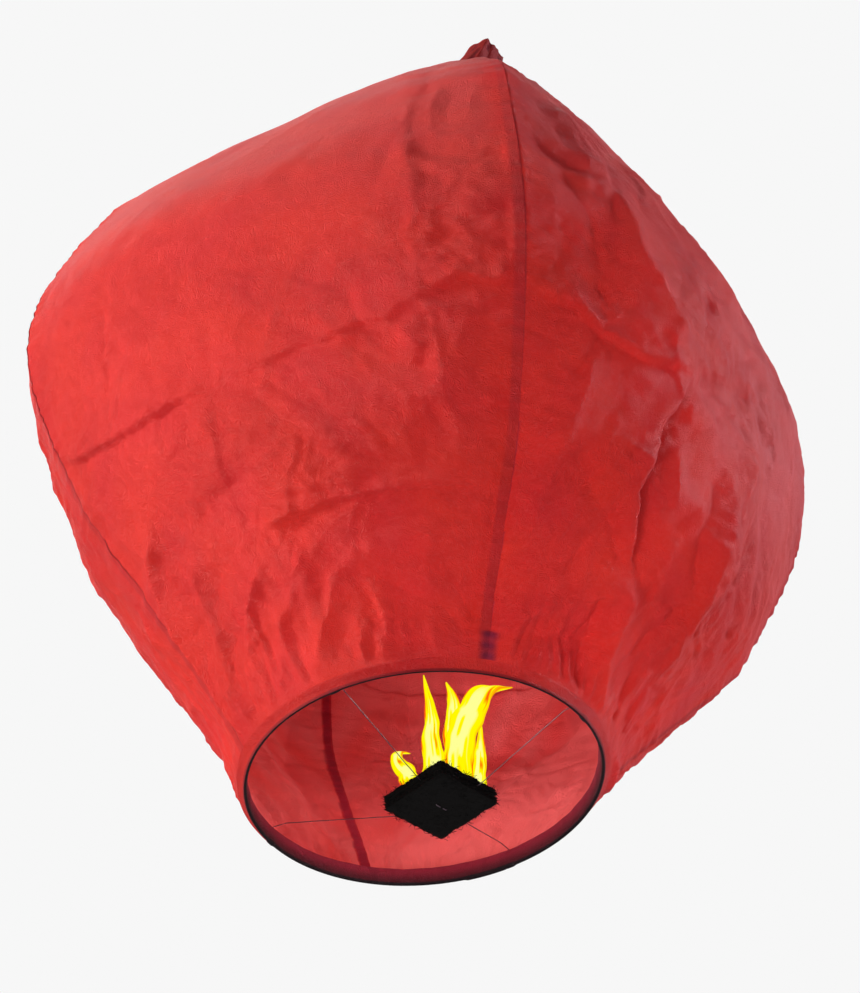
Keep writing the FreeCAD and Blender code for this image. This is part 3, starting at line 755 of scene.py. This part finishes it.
def rounded(points, radii, steps=8):
    """A polyline with its corners turned to arcs."""
    path = [points[0]]
    for before, here, after, radius in zip(points, points[1:], points[2:], radii):
        a, b = before - here, after - here
        a, b = a / np.linalg.norm(a), b / np.linalg.norm(b)
        half = math.acos(np.clip(a @ b, -1, 1)) / 2
        reach = radius / math.tan(half)
        start, end = here + a * reach, here + b * reach
        for t in np.linspace(0, 1, steps):
            path.append((1 - t) ** 2 * start + 2 * t * (1 - t) * here + t * t * end)
    return np.array(path + [points[-1]])


def tube(path, radius, sides=10):
    """Grid of points round a path, for an open tube whose ends are closed by its caller."""
    radius = np.broadcast_to(radius, len(path))
    tangent = np.gradient(path, axis=0)
    tangent /= np.linalg.norm(tangent, axis=1, keepdims=True)
    side = np.cross(tangent[0], [0.31, 0.2, 0.93])
    rings = []
    for point, t, r in zip(path, tangent, radius):
        side = side - t * (side @ t)
        side /= np.linalg.norm(side)
        other = np.cross(t, side)
        a = np.linspace(0, 2 * math.pi, sides, endpoint=False)[:, None]
        rings.append(point + r * (np.cos(a) * side + np.sin(a) * other))
    return np.array(rings)


def closed_tube(name, path, radius, material, sides=10, **values):
    rings = tube(path, radius, sides)
    faces = grid_faces(len(rings), sides, ring=True)
    faces.append(list(range(sides))[::-1])
    faces.append(list(range((len(rings) - 1) * sides, len(rings) * sides)))
    columns = {k: np.repeat(v, sides) for k, v in values.items()}
    return add_mesh(name, rings.reshape(-1, 3), faces, material, **columns)


for label, degrees, step in (("low", WIRE_TURN, -0.38), ("high", WIRE_TURN + 90, 0.38)):
    seat = PAD + np.array([0, 0, step])
    route = []
    for end in (degrees, degrees + 180):
        out = toward(end)
        foot = out * (HOOP_RADIUS - TIE_RADIUS)
        over = foot + np.array([0, 0, EXIT])
        near = out * (HOOP_RADIUS - EDGE_RUN) + np.array([0, 0, EXIT - EDGE_DROP])
        route.append([foot, over, near, seat + out * SEAT_REACH])
    line = route[0] + route[1][::-1]
    path = rounded(line, (2.2, 12, 10, 10, 12, 2.2))
    dense = [path[0]]
    for a, b in zip(path, path[1:]):
        count = max(1, int(np.linalg.norm(b - a) / 3))
        dense += [a + (b - a) * k / count for k in range(1, count + 1)]
    dense = np.array(dense)
    free = smooth((EXIT - 1.6 - dense[:, 2]) / 2.5) * smooth((dense[:, 2] + 15) / 4)
    gone = np.arange(len(dense))
    side = np.cross(toward(degrees), [0, 0, 1])
    dense = dense + (0.8 * noise2(gone / 9.0, gone * 0.0, int(degrees)) * free)[:, None] * side
    wire = closed_tube(f"wire_span_{label}", dense, WIRE_RADIUS, WIRE)
    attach(wire, "frame")
    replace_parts(wire, f"cross_wire_{label}")
    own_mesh(wire)
    print(wire.name, "points", len(wire.data.vertices))

# %% [markdown]
# The ties are one coil repeated by Geometry Nodes at four places on the hoop. Copies made by
# hand would do for four, but here one change to the coil changes them all.


# %% Wire ties
def node_group(name, inputs):
    """An empty Geometry Nodes group with a geometry input, named inputs and a geometry output."""
    tree = bpy.data.node_groups.new(name, "GeometryNodeTree")
    tree.interface.new_socket("Geometry", in_out="INPUT", socket_type="NodeSocketGeometry")
    for label, (kind, value) in inputs.items():
        socket = tree.interface.new_socket(label, in_out="INPUT", socket_type="NodeSocket" + kind)
        socket.default_value = value
    tree.interface.new_socket("Geometry", in_out="OUTPUT", socket_type="NodeSocketGeometry")
    return tree, tree.nodes.new("NodeGroupInput"), tree.nodes.new("NodeGroupOutput")


def put(tree, kind, settings=None, **inputs):
    node = tree.nodes.new(kind)
    for key, value in (settings or {}).items():
        setattr(node, key, value)
    for key, value in inputs.items():
        socket = node.inputs[socket_key(key)]
        if isinstance(value, bpy.types.NodeSocket):
            tree.links.new(value, socket)
        else:
            socket.default_value = value
    return node


def run_group(obj, tree, **values):
    """Set the group's inputs, evaluate it once and keep the result as the object's mesh."""
    modifier = obj.modifiers.new("rule", "NODES")
    modifier.node_group = tree
    for item in tree.interface.items_tree:
        word = item.name.replace(" ", "_")
        if item.item_type == "SOCKET" and item.in_out == "INPUT" and word in values:
            modifier[item.identifier] = values[word]
    graph = bpy.context.evaluated_depsgraph_get()
    made = bpy.data.meshes.new_from_object(obj.evaluated_get(graph))
    obj.modifiers.remove(modifier)
    obj.data = made
    made.name = obj.name
    return obj


tree, start, end = node_group("wire ties", {
    "Turns": ("Float", 3.0), "Coil radius": ("Float", TIE_RADIUS * MM), "Coil length": ("Float", 0.00255),
    "Wire radius": ("Float", WIRE_RADIUS * MM), "Material": ("Material", None)})
coil = put(tree, "GeometryNodeCurveSpiral", Resolution=28, Rotations=start.outputs["Turns"],
           Start_Radius=start.outputs["Coil radius"], End_Radius=start.outputs["Coil radius"],
           Height=start.outputs["Coil length"])
ring = put(tree, "GeometryNodeCurvePrimitiveCircle", Resolution=8, Radius=start.outputs["Wire radius"])
solid = put(tree, "GeometryNodeCurveToMesh", Curve=coil.outputs[0], Profile_Curve=ring.outputs[0],
            Fill_Caps=True)
turned = put(tree, "GeometryNodeInputNamedAttribute", {"data_type": "FLOAT_VECTOR"}, Name="facing")
spread = put(tree, "GeometryNodeInstanceOnPoints", Points=start.outputs["Geometry"],
             Instance=solid.outputs[0], Rotation=turned.outputs[0])
real = put(tree, "GeometryNodeRealizeInstances", Geometry=spread.outputs[0])
shaded = put(tree, "GeometryNodeSetMaterial", Geometry=real.outputs[0], Material=start.outputs["Material"])
tree.links.new(shaded.outputs[0], end.inputs[0])
places, facing = [], []
for k in range(4):
    degrees = WIRE_TURN + 90 * k
    inward = -toward(degrees)
    tangent = np.cross([0, 0, 1], inward)
    places.append(tuple(toward(degrees) * HOOP_RADIUS * MM))
    turn = Matrix((inward, np.cross(tangent, inward), tangent)).transposed()
    facing += list(turn.to_euler())
seeds = bpy.data.meshes.new("wire_ties")
seeds.from_pydata(places, [], [])
seeds.attributes.new("facing", "FLOAT_VECTOR", "POINT").data.foreach_set("vector", facing)
ties = bpy.data.objects.new("wire_ties", seeds)
bpy.context.collection.objects.link(ties)
run_group(ties, tree, Material=WIRE)
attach(ties, "frame")
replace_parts(ties, "cross_wire_low", "cross_wire_high")
print("ties", len(ties.data.vertices), "points")

# %% [markdown]
# ## The fuel pad
# Six waxed sheets, burnt black. Their faces are lumpy, their edges ragged, and loose fibres
# stand off them. Burnt fibre could be hair, but hair isn't exported, so Geometry Nodes scatter
# thin curved rods, densest along the edges, and make them part of each sheet's mesh.

# %% Fuel sheets
tree, start, end = node_group("char fibres", {
    "Density": ("Float", 60000.0), "Fibre length": ("Float", 0.005), "Seed": ("Int", 1),
    "Material": ("Material", None)})
fray = put(tree, "GeometryNodeInputNamedAttribute", {"data_type": "FLOAT"}, Name="fray")
dense = put(tree, "ShaderNodeMath", {"operation": "MULTIPLY"}, i0=start.outputs["Density"],
            i1=fray.outputs[0])
spots = put(tree, "GeometryNodeDistributePointsOnFaces", Mesh=start.outputs["Geometry"],
            Density=dense.outputs[0], Seed=start.outputs["Seed"])
bend = put(tree, "GeometryNodeCurveQuadraticBezier", Resolution=5, Start=(0, 0, 0),
           Middle=(0.35, 0.1, 0.32), End=(1.0, 0.0, 0.24))
ring = put(tree, "GeometryNodeCurvePrimitiveCircle", Resolution=4, Radius=0.034)
hair = put(tree, "GeometryNodeCurveToMesh", Curve=bend.outputs[0], Profile_Curve=ring.outputs[0],
           Fill_Caps=True)
angle = put(tree, "FunctionNodeRandomValue", {"data_type": "FLOAT_VECTOR"}, Min=(-0.5, -0.4, -3.14),
            Max=(0.5, 0.4, 3.14), Seed=start.outputs["Seed"])
aimed = put(tree, "FunctionNodeRotateRotation", {"rotation_space": "LOCAL"}, i0=spots.outputs["Rotation"],
            i1=angle.outputs[0])
length = put(tree, "FunctionNodeRandomValue", {"data_type": "FLOAT"}, i2=0.25, i3=1.0,
             Seed=start.outputs["Seed"])
scale = put(tree, "ShaderNodeMath", {"operation": "MULTIPLY"}, i0=length.outputs[1],
            i1=start.outputs["Fibre length"])
grown = put(tree, "GeometryNodeInstanceOnPoints", Points=spots.outputs["Points"], Instance=hair.outputs[0],
            Rotation=aimed.outputs[0], Scale=scale.outputs[0])
both = put(tree, "GeometryNodeJoinGeometry")
tree.links.new(grown.outputs[0], both.inputs[0])
tree.links.new(start.outputs["Geometry"], both.inputs[0])
real = put(tree, "GeometryNodeRealizeInstances", Geometry=both.outputs[0])
shaded = put(tree, "GeometryNodeSetMaterial", Geometry=real.outputs[0], Material=start.outputs["Material"])
tree.links.new(shaded.outputs[0], end.inputs[0])
PAD_TURN, SHEET_HALF = math.radians(26), 33.6


def fuel_sheet(index):
    low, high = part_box(f"fuel_sheet_{index}")
    z0, z1 = low[2] / MM, high[2] / MM
    cells = 44
    t = np.linspace(-1, 1, cells)
    gx, gy = np.meshgrid(t, t)
    seed = 31 + index
    ragged = 1 + 0.05 * noise2(gx * 3.1, gy * 3.1, seed) + 0.05 * noise2(gx * 13, gy * 13, seed + 50)
    corner = np.minimum(1, 1.985 / np.maximum(np.abs(gx) + np.abs(gy), 1e-6)) ** 0.8
    x, y = gx * SHEET_HALF * ragged * corner, gy * SHEET_HALF * ragged * corner
    edge = np.maximum(np.abs(gx), np.abs(gy))
    swell = 1 - 0.7 * smooth((edge - 0.9) / 0.1)
    outer = 0.9 if index in (0, 5) else 0.15
    top = z1 - 0.15 + (outer if index == 5 else 0.1) * noise2(x / 4.2, y / 4.2, seed + 9) * swell
    low_face = z0 + 0.15 + (outer if index == 0 else 0.1) * noise2(x / 3.6, y / 3.6, seed + 19) * swell
    middle = (z0 + z1) / 2
    top, low_face = middle + (top - middle) * swell, middle + (low_face - middle) * swell
    c, s = math.cos(PAD_TURN), math.sin(PAD_TURN)
    px, py = x * c - y * s + PAD[0], x * s + y * c + PAD[1]
    upper = np.stack([px, py, top], -1).reshape(-1, 3)
    lower = np.stack([px, py, low_face], -1).reshape(-1, 3)
    faces = grid_faces(cells, cells)
    faces += [[v + cells * cells for v in f[::-1]] for f in faces]
    rim = (list(range(cells)) + [cells - 1 + cells * k for k in range(1, cells)]
           + [cells * cells - 1 - k for k in range(1, cells)]
           + [cells * (cells - 1 - k) for k in range(1, cells - 1)])
    deep = cells * cells
    for a, b in zip(rim, rim[1:] + rim[:1]):
        faces.append([a, a + deep, b + deep, b])
    fray = 0.10 + 1.4 * smooth((edge - 0.86) / 0.12) + (0.35 if index == 0 else 0.12 if index == 5 else 0)
    obj = add_mesh(f"fuel_layer_{index}", np.concatenate([upper, lower]), faces, CHAR,
                   fray=np.concatenate([fray.ravel(), fray.ravel()]))
    run_group(obj, tree, Density=110000.0, Fibre_length=0.0062, Seed=index + 1, Material=CHAR)
    for data in obj.data.polygons:
        data.use_smooth = True
    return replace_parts(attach(obj, "fuel_cell"), f"fuel_sheet_{index}")


for index in range(6):
    made = fuel_sheet(index)
print("fuel layers, triangles in the last:", sum(len(p.vertices) - 2 for p in made.data.polygons))

# %% [markdown]
# ## The flame
# Tongues stand on the pad. Each is a flat lens: its rims are orange and its middle is yellow.
# Smoke simulation gives finer flames but no mesh to export; a few glowing
# shells keep their shape in any program.

# %% Flame tongues
TONGUES = [
    # name, points from the pad up, widths there
    ("left", [(-14, -2, -9), (-18, -5, 3), (-26, -7, 10), (-24, -9, 18), (-14, -8, 20)], (8, 8, 6, 3.4, 0.6)),
    ("middle", [(6, 0, -9), (9, -2, 16), (8, -4, 42), (9, -6, 70), (5, -8, 106)], (13, 10, 8, 5.2, 0.5)),
    ("right", [(30, 6, -9), (32, 3, 22), (36, 0, 50), (46, -3, 76), (60, -8, 98), (84, -12, 104)],
     (15, 14, 12, 14, 10, 1)),
    ("right_back", [(34, 16, -9), (36, 14, 30), (34, 10, 62), (36, 6, 92), (30, 4, 112)],
     (12, 10, 8, 6, 0.6)),
    ("spur", [(46, 4, -9), (50, 2, 14), (53, 0, 40), (56, -1, 72)], (9, 7, 4.5, 0.6)),
]


def spline(points, count):
    """Catmull-Rom curve through points."""
    p = np.array(points, float)
    if p.ndim == 1:
        p = p[:, None]
    p = np.concatenate([[2 * p[0] - p[1]], p, [2 * p[-1] - p[-2]]])
    t = np.linspace(0, len(p) - 3 - 1e-6, count)
    i = t.astype(int)
    f = (t - i)[:, None]
    a, b, c, d = p[i], p[i + 1], p[i + 2], p[i + 3]
    return 0.5 * (2 * b + (c - a) * f + (2 * a - 5 * b + 4 * c - d) * f ** 2
                  + (3 * b - a - 3 * c + d) * f ** 3)


FACING = np.array([math.cos(AZIMUTH), math.sin(AZIMUTH), 0.0])
for name, points, widths in TONGUES:
    count, sides = 60, 48
    path = spline(points, count)
    radius = np.maximum(spline(widths, count)[:, 0], 0.3)[:, None, None]
    share = np.linspace(0, 1, count)[:, None]
    turn = np.linspace(0, 2 * math.pi, sides, endpoint=False)[None, :]
    seed = 61 + len(name)
    climb = np.gradient(path, axis=0)
    climb /= np.linalg.norm(climb, axis=1, keepdims=True)
    wide = FACING - climb * (climb @ FACING)[:, None]
    wide /= np.linalg.norm(wide, axis=1, keepdims=True)
    thin = np.cross(climb, wide)
    lick = 1 + 0.32 * noise2(share * 7, np.cos(turn) * 1.2 + 5, seed)
    rings = path[:, None, :] + radius * lick[..., None] * (
        np.cos(turn)[..., None] * wide[:, None, :] + 0.42 * np.sin(turn)[..., None] * thin[:, None, :])
    streak = noise2(np.cos(turn) * 4.5 + share * 1.5, share * 3.2, seed + 7)
    warm = 0.98 - np.abs(np.cos(turn)) ** 3 * (0.95 - 0.2 * share) - 2.6 * np.maximum(streak - 0.10, 0)
    warm = warm - 0.5 * smooth((0.14 - share) / 0.14) + 0.25 * smooth((0.5 - np.abs(share - 0.4)) * 3) - 0.1
    faces = grid_faces(count, sides, ring=True)
    faces += [list(range(sides))[::-1], list(range((count - 1) * sides, count * sides))]
    tongue = add_mesh(f"flame_{name}", rings.reshape(-1, 3), faces, FLAME, warmth=np.clip(warm, 0, 1))
    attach(tongue, "fuel_cell")
    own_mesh(tongue)
print("flame pieces:", len(TONGUES))
